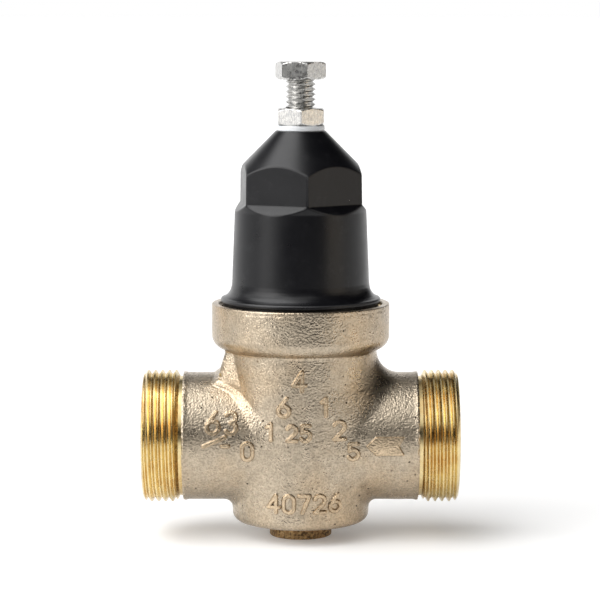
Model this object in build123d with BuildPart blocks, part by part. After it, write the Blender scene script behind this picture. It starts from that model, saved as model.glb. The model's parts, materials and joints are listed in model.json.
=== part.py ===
"""Direct-acting water pressure reducing valve with union ends and a 1 inch waterway.

Frame: origin at the centre of the bottom plug's face, +Z up the stem, +X out of the inlet port,
-X out of the outlet port. The flow arrow on the inlet neck points towards -X. Millimetres.
The valve is drawn open, as its adjusting spring holds it with no water in it.
"""

from build123d import *
from math import sqrt
import os

# ---------------------------------------------------------------- driving dimensions
PORT_AXIS_Z = 32.0  # height of the two ports' common axis
PORT_R = 12.7  # 1 inch waterway
HALF_LENGTH = 50.0  # from the stem axis to a port's end face

NECK_R = 20.3  # cast neck of each port
NECK_END_X = 37.3
UNDERCUT_R = 19.1  # relief between neck and thread
THREAD_START_X = 38.6
UNION_MAJOR_R = 21.0  # 1-1/4 inch straight pipe thread
UNION_PITCH = 25.4 / 11.5
UNION_DEPTH = 1.15
ARROW_HEIGHT = 0.45

BODY_BOTTOM_Z = 5.0
BODY_BOTTOM_R = 21.6
BODY_WAIST_R = 24.2  # barrel just under the collar
BODY_TOP_Z = 74.8
COLLAR_R = 28.3
COLLAR_LOW_Z = 65.4  # lower end of the collar's upright wall
COLLAR_BEVEL_Z = 60.2  # where the collar's bevel meets the barrel
COLLAR_MOUTH_R = 25.9
BELL_THREAD_R = 25.4  # cylinder on which the engaged threads of bell and collar meet
BELL_THREAD_TOP_Z = 73.3
BOTTOM_FILLET = 2.6
NECK_FILLET = 4.0

CHAMBER_FLOOR_Z = 9.0
PARTITION_LOW_Z = 30.5  # wall between the inlet chamber below and the outlet chamber above
PARTITION_TOP_Z = 33.5
INLET_CHAMBER_R = 17.0
OUTLET_CHAMBER_R = 20.6
PORT_BLIND_X = 23.5  # where the full round port bores end
PASSAGE_R = 12.2  # of the part-round passages between port bores and chambers
NOSE_BORE_R = 14.5

BYPASS_X = -18.4  # thermal-expansion check valve, in the outlet side of the partition
BYPASS_BORE_R = 2.6
BYPASS_FLOOR_Z = 22.0
BYPASS_SEAT_Z = 30.2
BALL_R = 1.9
BALL_Z = 28.7

CARTRIDGE_SEAT_Z = 62.0  # the cartridge's rim rests here
SHOULDER_Z = 64.0  # the diaphragm's rim rests here
CARTRIDGE_RIM_R = 22.5
RUBBER_R = 25.2
RUBBER_TOP_Z = 65.5
SLIP_RING_TOP_Z = 66.3
CLAMP_BORE_R = 21.5

STEM_R = 4.0
STEM_TAIL_R = 3.0
STEM_STUD_R = 3.17  # 1/4 inch stud
RUNNING_GAP = 0.05
GUIDE_TOP_Z = 58.4  # the stem's collar rests on the guide when the valve is open
DISC_TOP_Z = 24.0
SEAT_LIP_Z = 27.03  # 3 mm above the open disc

BOLT_R = 4.725  # 3/8-16 adjusting bolt
BOLT_PITCH = 25.4 / 16
BOLT_DEPTH = 0.9
HEX_AF = 14.29  # 9/16 inch across flats, bolt head and jam nut
BOLT_HEAD_LOW_Z = 145.5
BOLT_HEAD_TOP_Z = 151.1
BOLT_TIP_Z = BOLT_HEAD_LOW_Z - 38.1
BOLT_BORE_R = BOLT_R + RUNNING_GAP
BOLT_HEAD_TURN = -15.0
NUT_TURN = -27.8

BELL_TOP_Z = 129.4
BELL_TOP_R = 7.8
BELL_HEX_APOTHEM = 18.33  # at the foot of the flats
BELL_HEX_CORNER_R = 21.1
BELL_HEX_LOW_Z = 106.6
BELL_HEX_TURN = -23.9
BELL_HEX_DRAFT = 1.0
INSERT_R = 6.2
INSERT_LOW_Z = 115.0
INSERT_TOP_Z = 128.9
WASHER_R = 7.6
WASHER_TOP_Z = 131.1
NUT_TOP_Z = 136.5

SPRING_LOW_Z = 65.0
SPRING_HIGH_Z = 103.5
SPRING_R = 12.0  # mean coil radius
SPRING_WIRE_R = 1.9
SPRING_PITCH = 5.9

os.makedirs("parts", exist_ok=True)


def finish(piece, name):
    """Label a finished piece and write it as its own STEP file."""
    piece.part.label = name
    export_step(piece.part, f"parts/{name}.step")


def hexagon_radius(across_flats):
    """Corner radius of a hexagon."""
    return across_flats / sqrt(3)


def thread_outline(low, high, pitch, major_r, depth):
    """Points (radius, height) of ridges with flat crests, one to each pitch."""
    root, flank, crest = 0.16 * pitch, 0.32 * pitch, 0.20 * pitch
    points = [(major_r - depth, low)]
    height = low
    while height + pitch <= high + 0.001:
        points.append((major_r - depth, height + root))
        points.append((major_r, height + root + flank))
        points.append((major_r, height + root + flank + crest))
        height += pitch
        points.append((major_r - depth, height))
    return points


def turned(points):
    """A closed profile of (radius, height) points turned about the stem axis."""
    with BuildPart() as piece:
        with BuildSketch(Plane.XZ):
            with BuildLine():
                Polyline(*points, close=True)
            make_face()
        revolve(axis=Axis.Z)
    return piece


def ring(inner_r, outer_r, low, high):
    """A plain ring about the stem axis."""
    return turned([(inner_r, low), (outer_r, low), (outer_r, high), (inner_r, high)])


def hexagon_nut(across_flats, bore_r, low, high, turn=0.0):
    """A hexagon nut with its corners bevelled at both ends."""
    corner = hexagon_radius(across_flats)
    flat = across_flats / 2 - 0.1
    bevel = (corner - flat) * 0.6
    with BuildPart() as nut:
        with BuildSketch(Plane.XY.offset(low)):
            RegularPolygon(corner, 6, rotation=turn)
            Circle(bore_r, mode=Mode.SUBTRACT)
        extrude(amount=high - low)
        with BuildSketch(Plane.XZ):
            with BuildLine():
                Polyline(
                    (0, low),
                    (flat, low),
                    (corner, low + bevel),
                    (corner, high - bevel),
                    (flat, high),
                    (0, high),
                    close=True,
                )
            make_face()
        revolve(axis=Axis.Z, mode=Mode.INTERSECT)
    return nut


def coil(radius, wire_r, pitch, low, high, centre_x=0.0):
    """A compression spring with ends ground flat at its low and high ends."""
    first = low + wire_r * 0.3
    length = high - low - wire_r * 0.6
    with BuildPart() as spring:
        with BuildLine():
            path = Helix(pitch, length, radius, center=(centre_x, 0, first))
        with BuildSketch(Plane(origin=path @ 0, z_dir=path % 0)):
            Circle(wire_r)
        sweep(path=path, is_frenet=True)
        with BuildSketch(Plane.XY.offset(low)):
            with Locations((centre_x, 0)):
                Circle(radius + 2 * wire_r)
        extrude(amount=high - low, mode=Mode.INTERSECT)
    return spring


# ---------------------------------------------------------------- valve body
PORT_AXIS = Axis((0, 0, PORT_AXIS_Z), (1, 0, 0))

with BuildPart() as valve_body:
    # barrel and collar
    with BuildSketch(Plane.XZ):
        with BuildLine():
            Polyline(
                (0, BODY_TOP_Z),
                (0, BODY_BOTTOM_Z),
                (BODY_BOTTOM_R, BODY_BOTTOM_Z),
                (BODY_BOTTOM_R + 0.4, PORT_AXIS_Z - 18),
                (BODY_WAIST_R - 0.6, PORT_AXIS_Z),
                (BODY_WAIST_R, COLLAR_BEVEL_Z),
            )
            TangentArc(
                (BODY_WAIST_R, COLLAR_BEVEL_Z),
                (COLLAR_R, COLLAR_LOW_Z),
                tangent=(1.0, 0.45),
            )
            Polyline(
                (COLLAR_R, COLLAR_LOW_Z),
                (COLLAR_R, BODY_TOP_Z - 0.3),
                (COLLAR_R - 0.3, BODY_TOP_Z),
                (0, BODY_TOP_Z),
            )
        make_face()
    revolve(axis=Axis.Z)
    fillet(valve_body.edges().filter_by(GeomType.CIRCLE).sort_by(Axis.Z)[0], BOTTOM_FILLET)

    # necks, blended into the barrel
    for side in (1, -1):
        across = Plane(origin=(0, 0, PORT_AXIS_Z), x_dir=(0, 0, 1), z_dir=(side, 0, 0))
        with BuildSketch(across):
            Circle(NECK_R)
        extrude(amount=NECK_END_X)
    fillet(valve_body.edges().filter_by(GeomType.BSPLINE), NECK_FILLET)

    # union threads
    ridges = thread_outline(
        THREAD_START_X, HALF_LENGTH, UNION_PITCH, UNION_MAJOR_R, UNION_DEPTH
    )
    for side in (1, -1):
        with BuildSketch(Plane.XZ):
            with BuildLine():
                Polyline(
                    (side * NECK_END_X, PORT_AXIS_Z),
                    (side * NECK_END_X, PORT_AXIS_Z + UNDERCUT_R),
                    (side * THREAD_START_X, PORT_AXIS_Z + UNDERCUT_R),
                    *[(side * x, PORT_AXIS_Z + r) for r, x in ridges],
                    (side * HALF_LENGTH, PORT_AXIS_Z + UNION_MAJOR_R - UNION_DEPTH - 0.3),
                    (side * HALF_LENGTH, PORT_AXIS_Z),
                    close=True,
                )
            make_face()
        revolve(axis=PORT_AXIS)

    # raised flow arrow on the inlet neck
    with BuildPart(mode=Mode.PRIVATE) as arrow:
        with BuildSketch(Plane.YZ.offset(NECK_END_X / 2)):
            with Locations((0, PORT_AXIS_Z)):
                Circle(NECK_R + ARROW_HEIGHT)
        extrude(amount=NECK_END_X / 2)
        with BuildSketch(Plane.XZ.offset(NECK_R - 3)):
            with BuildLine():
                Polyline(
                    (20.4, PORT_AXIS_Z),
                    (23.6, PORT_AXIS_Z + 3.0),
                    (32.3, PORT_AXIS_Z + 3.0),
                    (30.8, PORT_AXIS_Z),
                    (32.3, PORT_AXIS_Z - 3.0),
                    (23.6, PORT_AXIS_Z - 3.0),
                    close=True,
                )
            make_face()
        extrude(amount=5, mode=Mode.INTERSECT)
    add(arrow.part)

    # the bore up the middle: plug, inlet chamber, partition, outlet chamber, collar thread
    with BuildSketch(Plane.XZ):
        with BuildLine():
            Polyline(
                (0, BODY_BOTTOM_Z - 1),
                (8.0, BODY_BOTTOM_Z - 1),
                (8.0, CHAMBER_FLOOR_Z),
                (INLET_CHAMBER_R, CHAMBER_FLOOR_Z),
                (INLET_CHAMBER_R, PARTITION_LOW_Z),
                (NOSE_BORE_R, PARTITION_LOW_Z),
                (NOSE_BORE_R, PARTITION_TOP_Z),
                (OUTLET_CHAMBER_R, PARTITION_TOP_Z),
                (OUTLET_CHAMBER_R, CARTRIDGE_SEAT_Z),
                (CARTRIDGE_RIM_R + 0.1, CARTRIDGE_SEAT_Z),
                (CARTRIDGE_RIM_R + 0.1, SHOULDER_Z),
                (BELL_THREAD_R, SHOULDER_Z),
                (BELL_THREAD_R, BELL_THREAD_TOP_Z),
                (COLLAR_MOUTH_R, BELL_THREAD_TOP_Z),
                (COLLAR_MOUTH_R, BODY_TOP_Z + 1),
                (0, BODY_TOP_Z + 1),
                close=True,
            )
        make_face()
    revolve(axis=Axis.Z, mode=Mode.SUBTRACT)

    # round port bores, then the passages: inlet under the partition, outlet over it
    for side in (1, -1):
        across = Plane(
            origin=(side * PORT_BLIND_X, 0, PORT_AXIS_Z), x_dir=(0, 0, 1), z_dir=(side, 0, 0)
        )
        with BuildSketch(across):
            Circle(PORT_R)
        extrude(amount=HALF_LENGTH, mode=Mode.SUBTRACT)
    with BuildSketch(Plane.YZ.offset(PORT_BLIND_X)):
        with Locations((0, PORT_AXIS_Z)):
            Circle(PASSAGE_R)
        with Locations((0, PARTITION_LOW_Z + PORT_R)):
            Rectangle(2 * PORT_R, 2 * PORT_R, mode=Mode.SUBTRACT)
    extrude(amount=-PORT_R, mode=Mode.SUBTRACT)
    with BuildSketch(Plane.YZ.offset(-PORT_BLIND_X)):
        with Locations((0, PORT_AXIS_Z)):
            Circle(PASSAGE_R)
        with Locations((0, PARTITION_TOP_Z - PORT_R)):
            Rectangle(2 * PORT_R, 2 * PORT_R, mode=Mode.SUBTRACT)
    extrude(amount=PORT_R, mode=Mode.SUBTRACT)

    # blind hole of the bypass check valve
    with BuildSketch(Plane.XY.offset(PARTITION_TOP_Z)):
        with Locations((BYPASS_X, 0)):
            Circle(BYPASS_BORE_R)
    extrude(amount=BYPASS_FLOOR_Z - PARTITION_TOP_Z, mode=Mode.SUBTRACT)
finish(valve_body, "valve_body")

# ---------------------------------------------------------------- bottom plug
PLUG_HEAD_TOP_Z = 4.2
PLUG_THREAD_R = 8.0
PLUG_GUIDE_TOP_Z = 15.5

with BuildPart() as bottom_plug:
    with BuildSketch(Plane.XZ):
        with BuildLine():
            Polyline(
                (0, 0),
                (9.5, 0),
                (9.9, 0.4),
                (9.9, PLUG_HEAD_TOP_Z),
                (PLUG_THREAD_R, PLUG_HEAD_TOP_Z),
                (PLUG_THREAD_R, CHAMBER_FLOOR_Z),
                (7.0, CHAMBER_FLOOR_Z),
                (7.0, PLUG_GUIDE_TOP_Z),
                (0, PLUG_GUIDE_TOP_Z),
                close=True,
            )
        make_face()
    revolve(axis=Axis.Z)
    # hexagon key socket below, blind guide bore for the stem's tail above
    with BuildSketch(Plane.XY):
        RegularPolygon(hexagon_radius(8.0), 6)
    extrude(amount=3.2, mode=Mode.SUBTRACT)
    with BuildSketch(Plane.XY.offset(PLUG_GUIDE_TOP_Z)):
        Circle(STEM_TAIL_R + RUNNING_GAP)
    extrude(amount=-9.0, mode=Mode.SUBTRACT)
finish(bottom_plug, "bottom_plug")
finish(ring(PLUG_THREAD_R, 9.6, PLUG_HEAD_TOP_Z, BODY_BOTTOM_Z), "bottom_plug_seal")

# ---------------------------------------------------------------- bell housing
FLANGE_R = 25.3
FLANGE_LOW_Z = 75.3
FLANGE_TOP_Z = 76.5
BARREL_LOW_R = 21.75
BARREL_LOW_Z = 80.1
BARREL_TOP_R = 20.8
BARREL_TOP_Z = 104.15
CONE_LOW_Z = 115.85
BOSS_R = 9.0

with BuildPart() as bell_housing:
    with BuildSketch(Plane.XZ):
        with BuildLine():
            Polyline(
                (0, SLIP_RING_TOP_Z),
                (BELL_THREAD_R, SLIP_RING_TOP_Z),
                (BELL_THREAD_R, BELL_THREAD_TOP_Z),
                (FLANGE_R - 0.6, BELL_THREAD_TOP_Z),
                (FLANGE_R - 0.6, FLANGE_LOW_Z),
                (FLANGE_R, FLANGE_LOW_Z),
                (FLANGE_R, FLANGE_TOP_Z),
                (FLANGE_R - 0.7, FLANGE_TOP_Z + 0.3),
            )
            TangentArc(
                (BARREL_LOW_R, BARREL_LOW_Z),
                (FLANGE_R - 0.7, FLANGE_TOP_Z + 0.3),
                tangent=(0.04, -1.0),
            )
            Polyline(
                (BARREL_LOW_R, BARREL_LOW_Z),
                (BARREL_TOP_R, BARREL_TOP_Z),
                (BELL_HEX_CORNER_R, BELL_HEX_LOW_Z),
                (BELL_HEX_CORNER_R, CONE_LOW_Z),
                (BELL_TOP_R, BELL_TOP_Z),
                (0, BELL_TOP_Z),
                (0, SLIP_RING_TOP_Z),
            )
        make_face()
    revolve(axis=Axis.Z)

    # wrench flats: a drafted hexagon that ends below in 45 degree ledges
    corner = hexagon_radius(2 * BELL_HEX_APOTHEM)
    ledge_drop = 5.0
    ledge_corner = hexagon_radius(2 * (BELL_HEX_APOTHEM + ledge_drop))
    with BuildPart(mode=Mode.PRIVATE) as flats:
        with BuildSketch(Plane.XY.offset(BELL_HEX_LOW_Z)):
            RegularPolygon(corner, 6, rotation=BELL_HEX_TURN)
        extrude(amount=BELL_TOP_Z - BELL_HEX_LOW_Z, taper=BELL_HEX_DRAFT)
        with BuildSketch(Plane.XY.offset(BELL_HEX_LOW_Z)):
            RegularPolygon(corner, 6, rotation=BELL_HEX_TURN)
        with BuildSketch(Plane.XY.offset(BELL_HEX_LOW_Z - ledge_drop)):
            RegularPolygon(ledge_corner, 6, rotation=BELL_HEX_TURN)
        loft()
        with BuildSketch(Plane.XY.offset(SLIP_RING_TOP_Z)):
            Circle(FLANGE_R + 5)
        extrude(amount=BELL_HEX_LOW_Z - ledge_drop - SLIP_RING_TOP_Z)
    add(flats.part, mode=Mode.INTERSECT)

    # spring chamber, boss and seat of the threaded insert
    with BuildSketch(Plane.XZ):
        with BuildLine():
            Polyline(
                (0, SLIP_RING_TOP_Z - 1),
                (CLAMP_BORE_R - 0.2, SLIP_RING_TOP_Z - 1),
                (CLAMP_BORE_R - 0.2, 70.0),
                (18.2, 74.0),
                (17.8, 101.0),
                (15.5, 104.5),
                (15.5, 117.3),
                (BOSS_R, 123.8),
                (BOSS_R, INSERT_LOW_Z),
                (INSERT_R, INSERT_LOW_Z),
                (INSERT_R, INSERT_TOP_Z),
                (BOLT_BORE_R + 0.4, INSERT_TOP_Z),
                (BOLT_BORE_R + 0.4, BELL_TOP_Z + 1),
                (0, BELL_TOP_Z + 1),
                close=True,
            )
        make_face()
    revolve(axis=Axis.Z, mode=Mode.SUBTRACT)
finish(bell_housing, "bell_housing")

finish(ring(BOLT_BORE_R, INSERT_R, INSERT_LOW_Z, INSERT_TOP_Z), "bolt_insert")
finish(ring(CLAMP_BORE_R, RUBBER_R, RUBBER_TOP_Z, SLIP_RING_TOP_Z), "slip_ring")

# ---------------------------------------------------------------- adjusting bolt, nut and washer
with BuildPart() as adjusting_bolt:
    ridges = thread_outline(
        BOLT_TIP_Z + 1.0, BOLT_HEAD_LOW_Z - 0.5, BOLT_PITCH, BOLT_R, BOLT_DEPTH
    )
    with BuildSketch(Plane.XZ):
        with BuildLine():
            Polyline(
                (0, BOLT_TIP_Z),
                (BOLT_R - BOLT_DEPTH, BOLT_TIP_Z),
                *ridges,
                (BOLT_R - BOLT_DEPTH, BOLT_HEAD_LOW_Z),
                (0, BOLT_HEAD_LOW_Z),
                close=True,
            )
        make_face()
    revolve(axis=Axis.Z)
    add(hexagon_nut(HEX_AF, 0.01, BOLT_HEAD_LOW_Z, BOLT_HEAD_TOP_Z, BOLT_HEAD_TURN).part)
finish(adjusting_bolt, "adjusting_bolt")

finish(ring(BOLT_BORE_R, WASHER_R, BELL_TOP_Z, WASHER_TOP_Z), "sealing_washer")
finish(hexagon_nut(HEX_AF, BOLT_BORE_R, WASHER_TOP_Z, NUT_TOP_Z, NUT_TURN), "jam_nut")

# ---------------------------------------------------------------- adjusting spring and its seats
spring_button = turned(
    [
        (0, SPRING_HIGH_Z - 3.0),
        (8.4, SPRING_HIGH_Z - 3.0),
        (9.0, SPRING_HIGH_Z - 2.4),
        (9.0, SPRING_HIGH_Z),
        (14.5, SPRING_HIGH_Z),
        (14.5, SPRING_HIGH_Z + 2.8),
        (7.0, SPRING_HIGH_Z + 2.8),
        (7.0, SPRING_HIGH_Z + 5.5),
        (5.2, SPRING_HIGH_Z + 5.5),
        (5.2, BOLT_TIP_Z - 0.02),
        (0, BOLT_TIP_Z - 0.02),
    ]
)
finish(spring_button, "spring_button")

adjusting_spring = coil(SPRING_R, SPRING_WIRE_R, SPRING_PITCH, SPRING_LOW_Z, SPRING_HIGH_Z)
finish(adjusting_spring, "adjusting_spring")

PLATE_TOP_Z = 62.0  # top of the plate under the diaphragm
RUBBER_CENTRE_TOP_Z = 63.2
NUT_SEAT_Z = 67.5

spring_plate = turned(
    [
        (STEM_STUD_R, RUBBER_CENTRE_TOP_Z),
        (13.8, RUBBER_CENTRE_TOP_Z),
        (14.4, RUBBER_CENTRE_TOP_Z + 0.6),
        (14.4, SPRING_LOW_Z),
        (9.0, SPRING_LOW_Z),
        (9.0, NUT_SEAT_Z - 0.6),
        (8.4, NUT_SEAT_Z),
        (STEM_STUD_R, NUT_SEAT_Z),
    ]
)
finish(spring_plate, "spring_plate")
finish(ring(STEM_STUD_R, 5.8, NUT_SEAT_Z, NUT_SEAT_Z + 1.2), "stem_lock_washer")
finish(hexagon_nut(11.1, STEM_STUD_R, NUT_SEAT_Z + 1.2, NUT_SEAT_Z + 6.7), "stem_nut")

# ---------------------------------------------------------------- diaphragm
with BuildPart() as diaphragm:
    with BuildSketch(Plane.XZ):
        with BuildLine():
            Polyline(
                (14.6, RUBBER_CENTRE_TOP_Z),
                (STEM_STUD_R, RUBBER_CENTRE_TOP_Z),
                (STEM_STUD_R, PLATE_TOP_Z),
                (14.2, PLATE_TOP_Z),
            )
            Spline((14.2, PLATE_TOP_Z), (18.3, SHOULDER_Z), tangents=((1, 0), (1, 0)))
            Polyline(
                (18.3, SHOULDER_Z),
                (RUBBER_R, SHOULDER_Z),
                (RUBBER_R, RUBBER_TOP_Z),
                (18.7, RUBBER_TOP_Z),
            )
            Spline(
                (18.7, RUBBER_TOP_Z),
                (14.6, RUBBER_CENTRE_TOP_Z),
                tangents=((-1, 0), (-1, 0)),
            )
        make_face()
    revolve(axis=Axis.Z)
finish(diaphragm, "diaphragm")
finish(ring(STEM_STUD_R, 14.0, PLATE_TOP_Z - 1.5, PLATE_TOP_Z), "diaphragm_plate")

# ---------------------------------------------------------------- stem and disc
STEM_STEP_Z = 24.8
stem = turned(
    [
        (0, 8.0),
        (STEM_TAIL_R - 0.5, 8.0),
        (STEM_TAIL_R, 8.5),
        (STEM_TAIL_R, STEM_STEP_Z),
        (STEM_R, STEM_STEP_Z),
        (STEM_R, GUIDE_TOP_Z + RUNNING_GAP),
        (6.0, GUIDE_TOP_Z + RUNNING_GAP),
        (6.0, PLATE_TOP_Z - 1.5),
        (STEM_STUD_R, PLATE_TOP_Z - 1.5),
        (STEM_STUD_R, 75.0),
        (STEM_STUD_R - 0.6, 75.6),
        (0, 75.6),
    ]
)
finish(stem, "stem")

DISC_LOW_Z = 21.3
HOLDER_LOW_Z = 18.8
disc_holder = turned(
    [
        (STEM_TAIL_R, HOLDER_LOW_Z),
        (11.0, HOLDER_LOW_Z),
        (11.8, HOLDER_LOW_Z + 0.8),
        (11.8, DISC_TOP_Z - 0.7),
        (11.0, DISC_TOP_Z - 0.7),
        (11.0, DISC_LOW_Z),
        (5.0, DISC_LOW_Z),
        (5.0, DISC_TOP_Z),
        (STEM_TAIL_R, DISC_TOP_Z),
    ]
)
finish(disc_holder, "disc_holder")
finish(ring(5.0, 11.0, DISC_LOW_Z, DISC_TOP_Z), "seat_disc")
finish(ring(STEM_TAIL_R, 7.2, DISC_TOP_Z, STEM_STEP_Z), "disc_retainer")
finish(hexagon_nut(10.0, STEM_TAIL_R, HOLDER_LOW_Z - 2.6, HOLDER_LOW_Z), "disc_nut")

# ---------------------------------------------------------------- cartridge
NOSE_R = 14.4
NOSE_LOW_Z = 28.5
SEAT_SOCKET_R = 11.0
CAGE_R = 17.5
CAGE_BORE_R = 15.0
CAGE_LOW_Z = 34.0
CUP_R = 20.2
CUP_BORE_R = 18.6
CUP_FLOOR_Z = 52.5
CUP_FLOOR_T = 2.5
HUB_R = 7.5
HUB_BORE_R = 5.0
HUB_LOW_Z = 46.0
O_RING_R = 0.9
O_RING_Z = (PARTITION_LOW_Z + PARTITION_TOP_Z) / 2

with BuildPart() as cartridge_body:
    with BuildSketch(Plane.XZ):
        with BuildLine():
            Polyline(
                (SEAT_SOCKET_R, NOSE_LOW_Z),
                (NOSE_R, NOSE_LOW_Z),
                (NOSE_R, O_RING_Z - O_RING_R),
                (NOSE_BORE_R - 2 * O_RING_R, O_RING_Z - O_RING_R),
                (NOSE_BORE_R - 2 * O_RING_R, O_RING_Z + O_RING_R),
                (NOSE_R, O_RING_Z + O_RING_R),
                (NOSE_R, CAGE_LOW_Z),
                (CAGE_R - 1.9, CAGE_LOW_Z),
                (CAGE_R, CAGE_LOW_Z + 1.9),
                (CAGE_R, CUP_FLOOR_Z),
                (CUP_R, CUP_FLOOR_Z),
                (CUP_R, CARTRIDGE_SEAT_Z),
                (CARTRIDGE_RIM_R, CARTRIDGE_SEAT_Z),
                (CARTRIDGE_RIM_R, SHOULDER_Z),
                (CUP_BORE_R, SHOULDER_Z),
                (CUP_BORE_R, CUP_FLOOR_Z + CUP_FLOOR_T),
                (HUB_R, CUP_FLOOR_Z + CUP_FLOOR_T),
                (HUB_R, GUIDE_TOP_Z),
                (HUB_BORE_R, GUIDE_TOP_Z),
                (HUB_BORE_R, HUB_LOW_Z),
                (HUB_R, HUB_LOW_Z),
                (HUB_R, CUP_FLOOR_Z),
                (CAGE_BORE_R, CUP_FLOOR_Z),
                (CAGE_BORE_R, CAGE_LOW_Z + 1.9),
                (SEAT_SOCKET_R, CAGE_LOW_Z),
                close=True,
            )
        make_face()
    revolve(axis=Axis.Z)
    # windows to the outlet chamber, and sensing holes under the diaphragm
    with BuildSketch(Plane.XY.offset(CAGE_LOW_Z + 2.5)):
        with PolarLocations(CAGE_R, 6, start_angle=30):
            Rectangle(8.0, 12.0)
    extrude(amount=11.0, mode=Mode.SUBTRACT)
    with BuildSketch(Plane.XY.offset(CUP_FLOOR_Z)):
        with PolarLocations(12.0, 6):
            Circle(2.0)
    extrude(amount=CUP_FLOOR_T, mode=Mode.SUBTRACT)
finish(cartridge_body, "cartridge_body")

finish(ring(STEM_R + RUNNING_GAP, HUB_BORE_R, HUB_LOW_Z, GUIDE_TOP_Z), "guide_bush")

with BuildPart() as cartridge_o_ring:
    with BuildSketch(Plane.XZ):
        with Locations((NOSE_BORE_R - O_RING_R, O_RING_Z)):
            Circle(O_RING_R)
    revolve(axis=Axis.Z)
finish(cartridge_o_ring, "cartridge_o_ring")

SEAT_BORE_R = 8.5
valve_seat = turned(
    [
        (SEAT_BORE_R, SEAT_LIP_Z),
        (SEAT_BORE_R + 0.8, SEAT_LIP_Z),
        (SEAT_BORE_R + 1.4, SEAT_LIP_Z + 0.8),
        (12.8, SEAT_LIP_Z + 0.8),
        (12.8, NOSE_LOW_Z),
        (SEAT_SOCKET_R, NOSE_LOW_Z),
        (SEAT_SOCKET_R, PARTITION_TOP_Z),
        (SEAT_SOCKET_R - 1.0, PARTITION_TOP_Z),
        (SEAT_BORE_R, PARTITION_TOP_Z - 2.0),
    ]
)
finish(valve_seat, "valve_seat")

# ---------------------------------------------------------------- strainer
SCREEN_R = 15.3
SCREEN_T = 0.5
SCREEN_HOLE_R = 1.1
SCREEN_ROWS = 6
SCREEN_HOLES = 16  # around each row

with BuildPart() as strainer_screen:
    with BuildSketch(Plane.XY.offset(CHAMBER_FLOOR_Z)):
        Circle(SCREEN_R)
        Circle(SCREEN_R - SCREEN_T, mode=Mode.SUBTRACT)
    extrude(amount=PARTITION_LOW_Z - CHAMBER_FLOOR_Z)
    row_pitch = (PARTITION_LOW_Z - CHAMBER_FLOOR_Z - 3.0) / SCREEN_ROWS
    for row in range(SCREEN_ROWS):
        height = CHAMBER_FLOOR_Z + 1.5 + (row + 0.5) * row_pitch
        for hole in range(SCREEN_HOLES):
            angle = (hole + 0.5 * (row % 2)) * 360 / SCREEN_HOLES
            outward = Vector(1, 0, 0).rotate(Axis.Z, angle)
            spot = Vector(0, 0, height) + outward * (SCREEN_R - 2)
            with BuildSketch(Plane(origin=spot, x_dir=(0, 0, 1), z_dir=outward)):
                Circle(SCREEN_HOLE_R)
    extrude(amount=3.0, mode=Mode.SUBTRACT)
finish(strainer_screen, "strainer_screen")

# ---------------------------------------------------------------- bypass check valve
with BuildPart() as bypass_seat:
    with BuildSketch(Plane.XY.offset(BYPASS_SEAT_Z)):
        with Locations((BYPASS_X, 0)):
            Circle(BYPASS_BORE_R)
            Circle(1.2, mode=Mode.SUBTRACT)
    extrude(amount=PARTITION_TOP_Z - BYPASS_SEAT_Z)
finish(bypass_seat, "bypass_seat")

with BuildPart() as bypass_ball:
    with Locations((BYPASS_X, 0, BALL_Z)):
        Sphere(BALL_R)
finish(bypass_ball, "bypass_ball")

BYPASS_SPRING_R = 1.55
BYPASS_WIRE_R = 0.3
BYPASS_SPRING_TOP_Z = BALL_Z - sqrt((BALL_R + BYPASS_WIRE_R) ** 2 - BYPASS_SPRING_R**2)
bypass_spring = coil(
    BYPASS_SPRING_R, BYPASS_WIRE_R, 0.95, BYPASS_FLOOR_Z, BYPASS_SPRING_TOP_Z, BYPASS_X
)
finish(bypass_spring, "bypass_spring")
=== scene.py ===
import json
from math import cos, pi, radians, sin, sqrt, tan

import bmesh
import bpy
import numpy as np
from bpy.props import FloatProperty, FloatVectorProperty, PointerProperty
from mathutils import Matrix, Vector


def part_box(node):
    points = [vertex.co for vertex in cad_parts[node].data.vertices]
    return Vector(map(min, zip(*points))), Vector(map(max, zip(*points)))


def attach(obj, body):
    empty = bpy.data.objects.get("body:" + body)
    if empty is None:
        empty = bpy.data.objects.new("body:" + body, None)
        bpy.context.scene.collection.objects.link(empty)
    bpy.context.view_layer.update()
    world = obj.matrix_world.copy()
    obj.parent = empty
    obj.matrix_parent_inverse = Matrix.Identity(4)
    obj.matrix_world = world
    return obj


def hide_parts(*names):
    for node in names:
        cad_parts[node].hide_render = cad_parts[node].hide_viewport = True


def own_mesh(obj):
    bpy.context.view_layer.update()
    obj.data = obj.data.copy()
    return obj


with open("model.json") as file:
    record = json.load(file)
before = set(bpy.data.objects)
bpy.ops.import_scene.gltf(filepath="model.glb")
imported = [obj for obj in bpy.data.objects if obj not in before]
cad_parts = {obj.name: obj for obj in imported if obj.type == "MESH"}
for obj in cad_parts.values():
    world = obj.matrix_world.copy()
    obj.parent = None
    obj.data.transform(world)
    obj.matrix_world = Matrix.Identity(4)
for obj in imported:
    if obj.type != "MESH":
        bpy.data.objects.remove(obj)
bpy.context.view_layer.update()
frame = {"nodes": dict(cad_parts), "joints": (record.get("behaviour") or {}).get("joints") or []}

bl_info = {
    "name": "Pressure Reducing Valve",
    "version": (1, 0, 0),
    "blender": (4, 5, 0),
    "location": "View3D > Sidebar > Valve",
    "description": "Builds the visible pieces of a direct-acting water pressure reducing valve",
    "category": "Object",
}

MM = 0.001


def low(node):
    """Lowest corner of a CAD node."""
    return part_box(node)[0]


def high(node):
    """Highest corner of a CAD node."""
    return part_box(node)[1]


# ------------------------------------------------------------------ sizes and colours


def length(name, description, default):
    """A length property in metres."""
    return FloatProperty(
        name=name, description=description, default=default, unit="LENGTH", subtype="DISTANCE"
    )


def colour(name, description, default):
    """A linear colour property."""
    return FloatVectorProperty(
        name=name, description=description, default=default, subtype="COLOR", size=3, min=0, max=1
    )


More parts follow.
